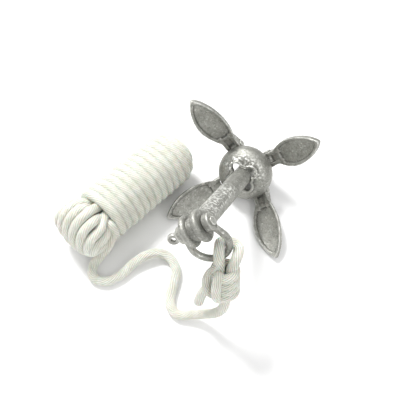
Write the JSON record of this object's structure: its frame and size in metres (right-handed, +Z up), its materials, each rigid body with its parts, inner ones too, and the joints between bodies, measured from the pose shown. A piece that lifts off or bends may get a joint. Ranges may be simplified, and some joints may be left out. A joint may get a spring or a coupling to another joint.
{
  "type": "grapnel anchor",
  "caption": "Small galvanised folding grapnel anchor with spoon flukes, a sliding locking collar and a bow shackle, tied to a short hank of white braided rope.",
  "frame": {"origin": "centre of the anchor's own footprint, on the surface that it stands on", "axes": "+Z up; the shank lies in the YZ plane and rises towards -Y, so +Y runs from the shackle back to the crown; +X is to the right seen from the shackle's end"},
  "size_m": [0.1842, 0.1714, 0.1147],
  "materials": {
    "galvanised_casting": "rough hot-dip galvanised cast iron, speckled warm grey with fine bright grain",
    "galvanised_steel": "smoother hot-dip galvanised bar, satin grey with brighter worn ridges",
    "braided_rope": "off-white braided polyester or polyamide cord, silky yarns in a diagonal braid"
  },
  "bodies": {
    "root": {"shank": "galvanised_casting", "crown": "galvanised_casting", "fluke_pin_1": "galvanised_steel", "fluke_pin_2": "galvanised_steel", "fluke_pin_3": "galvanised_steel", "fluke_pin_4": "galvanised_steel", "rope_line": "braided_rope", "rope_hank": "braided_rope", "rope_hank_bights": "braided_rope"},
    "collar": {"collar": "galvanised_casting"},
    "fluke_1": {"fluke_1": "galvanised_casting"},
    "fluke_2": {"fluke_2": "galvanised_casting"},
    "fluke_3": {"fluke_3": "galvanised_casting"},
    "fluke_4": {"fluke_4": "galvanised_casting"},
    "shackle": {"shackle_bow": "galvanised_steel", "rope_loop": "braided_rope", "rope_knot": "braided_rope", "rope_bight": "braided_rope", "rope_tail": "braided_rope"},
    "shackle_pin": {"shackle_pin": "galvanised_steel"}
  },
  "joints": [
    {"name": "collar_slide", "type": "slide", "parent": "root", "child": "collar", "axis": [0, -0.8211, 0.5707], "range_m": [0, 0.072]},
    {"name": "fluke_1_fold", "type": "hinge", "parent": "root", "child": "fluke_1", "pos_m": [0.01626, 0.06157, 0.03485], "axis": [0.7071, -0.4036, -0.5806], "range_deg": [0, 59]},
    {"name": "fluke_2_fold", "type": "hinge", "parent": "root", "child": "fluke_2", "pos_m": [-0.01626, 0.06157, 0.03485], "axis": [0.7071, 0.4036, 0.5806], "range_deg": [0, 59]},
    {"name": "fluke_3_fold", "type": "hinge", "parent": "root", "child": "fluke_3", "pos_m": [-0.01626, 0.043, 0.00814], "axis": [-0.7071, 0.4036, 0.5806], "range_deg": [0, 51]},
    {"name": "fluke_4_fold", "type": "hinge", "parent": "root", "child": "fluke_4", "pos_m": [0.01626, 0.043, 0.00814], "axis": [-0.7071, -0.4036, -0.5806], "range_deg": [0, 51]},
    {"name": "shackle_swing", "type": "hinge", "parent": "root", "child": "shackle", "pos_m": [0, -0.06268, 0.10139], "axis": [0.7071, 0.4036, 0.5806], "range_deg": [-160, 15], "deforming": ["rope_line"]},
    {"name": "shackle_pin_withdraw", "type": "slide", "parent": "shackle", "child": "shackle_pin", "axis": [-0.7071, -0.4036, -0.5806], "range_m": [0, 0.03]}
  ],
  "couplings": [
    {"joint": "fluke_1_fold", "follows": "collar_slide", "rad_per_m": 14.302},
    {"joint": "fluke_2_fold", "follows": "collar_slide", "rad_per_m": 14.302},
    {"joint": "fluke_3_fold", "follows": "collar_slide", "rad_per_m": 12.363},
    {"joint": "fluke_4_fold", "follows": "collar_slide", "rad_per_m": 12.363}
  ]
}
